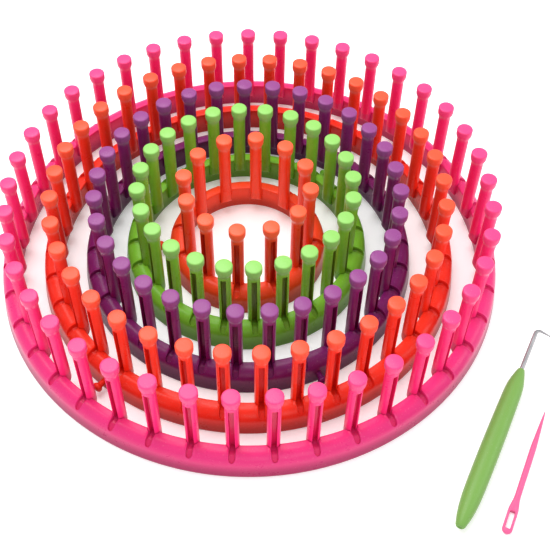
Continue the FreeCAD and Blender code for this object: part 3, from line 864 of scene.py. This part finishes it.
# %% [markdown]
# ## The yarn needle
# The needle is a flat plastic strip at its eye and a round shaft further on, which tapers to a
# blunt point. The eye is a long slot, with a hollow in front of it where the yarn lies. A loft
# can't have a hole, so the needle is four lofts that run into each other: the round end, a rail on
# each side of the eye, and the shaft.

# %% Needle
needle_start, needle_way, needle_long = long_axis("yarn_needle")
NEEDLE_END = needle_long / MM
EYE_FROM = 2.3
EYE_TO = 12.8
EYE_HALF = 1.25
FLAT_HALF = 2.55
FLAT_THICK = 1.2
SHAFT_R = 1.55


def needle_half_width(x):
    """Half of the needle's width at a distance from its round end."""
    if x < FLAT_HALF:
        return math.sqrt(max(FLAT_HALF**2 - (FLAT_HALF - x) ** 2, 0))
    if x < EYE_TO:
        return FLAT_HALF
    if x < EYE_TO + 9:
        return SHAFT_R + (FLAT_HALF - SHAFT_R) * (1 - float(smoothstep((x - EYE_TO) / 9)))
    if x < NEEDLE_END - 24:
        return SHAFT_R
    t = (x - NEEDLE_END + 24) / 24
    return SHAFT_R * (1 - t) ** 0.8 + 0.18 * t


def needle_half_height(x):
    if x < EYE_TO - 2:
        return FLAT_THICK * min(1.0, 0.55 + x / 2.5)
    thick = FLAT_THICK + (SHAFT_R * 0.78 - FLAT_THICK) * float(smoothstep((x - EYE_TO) / 9))
    return min(thick, needle_half_width(x))


def eye_half(x):
    """Half of the eye's width at x, or zero outside it."""
    if x <= EYE_FROM or x >= EYE_TO:
        return 0.0
    left = min(x - EYE_FROM, EYE_TO - x)
    if left >= EYE_HALF:
        return EYE_HALF
    return math.sqrt(EYE_HALF**2 - (EYE_HALF - left) ** 2)


def rail_loops(sign):
    """Sections of one rail beside the eye, from the eye's back end to its front end."""
    loops = []
    for t in np.linspace(0, math.pi, 25):
        x = (EYE_FROM + EYE_TO) / 2 - (EYE_TO - EYE_FROM) / 2 * math.cos(t)
        outer_y = needle_half_width(x)
        inner_y = eye_half(x)
        z = needle_half_height(x)
        middle = (outer_y + inner_y) / 2
        half = (outer_y - inner_y) / 2
        a = np.linspace(0, 2 * math.pi, 16, endpoint=False)
        power = 0.55
        y = middle + half * np.sign(np.cos(a)) * np.abs(np.cos(a)) ** power
        h = z * np.sign(np.sin(a)) * np.abs(np.sin(a)) ** power
        loops.append(np.c_[np.full(16, x), sign * y, h])
    return loops


def bar_loops(stations):
    """Sections of the needle's solid parts."""
    loops = []
    for x in stations:
        a = np.linspace(0, 2 * math.pi, 24, endpoint=False)
        power = 0.62 + 0.38 * float(smoothstep((x - EYE_TO) / 9))
        y = needle_half_width(x) * np.sign(np.cos(a)) * np.abs(np.cos(a)) ** power
        h = needle_half_height(x) * np.sign(np.sin(a)) * np.abs(np.sin(a)) ** power
        dip = 0.55 * math.exp(-(((x - EYE_TO - 1.2) / 1.7) ** 2))
        h = h - np.where(h > 0, dip * np.exp(-((y / 0.85) ** 2)), 0)
        loops.append(np.c_[np.full(24, x), y, h])
    return loops


needle_parts = [
    loft(bar_loops([0.05, 0.2, 0.6, 1.1, 1.7, 2.3, 2.6])),
    loft(bar_loops([12.5, 13.0, 13.5, 14.2, 15, 16, 18, 20, 22, 26, 34, 44]
                   + list(np.linspace(NEEDLE_END - 24, NEEDLE_END - 0.05, 12)))),
    loft(rail_loops(1)),
    loft(rail_loops(-1)),
]
points = []
faces = []
side_way = np.array([-needle_way[1], needle_way[0], 0.0])
for part_points, part_faces in needle_parts:
    base = sum(len(p) for p in points)
    faces += [tuple(base + i for i in face) for face in part_faces]
    spread = np.outer(part_points[:, 0], needle_way) + np.outer(part_points[:, 1], side_way)
    spread = spread + np.outer(part_points[:, 2], (0, 0, 1))
    points.append(needle_start + spread * MM)
ROSE = plastic(
    "rose_needle", (0.72, 0.09, 0.25), (0.78, 0.13, 0.30), (0.8, 0.2, 0.4), (0.72, 0.11, 0.27),
    gloss=0.4, foot_shade_share=0.1,
)
needle = mesh_piece("yarn_needle_moulded", np.concatenate(points), faces, ROSE, 50)
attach(needle, "needle")
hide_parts("yarn_needle")
print("needle faces", len(faces))

# %% [markdown]
# ## Both sizes and finish
# The dressed model must be as large as the measured one, so both boxes are written down side by side.

# %% Sizes and the end
dressed_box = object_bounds()
for name, (low, high) in (("measured", measured_box), ("dressed", dressed_box)):
    print(name, "size in mm:", [round((h - l) / MM, 2) for l, h in zip(low, high)])
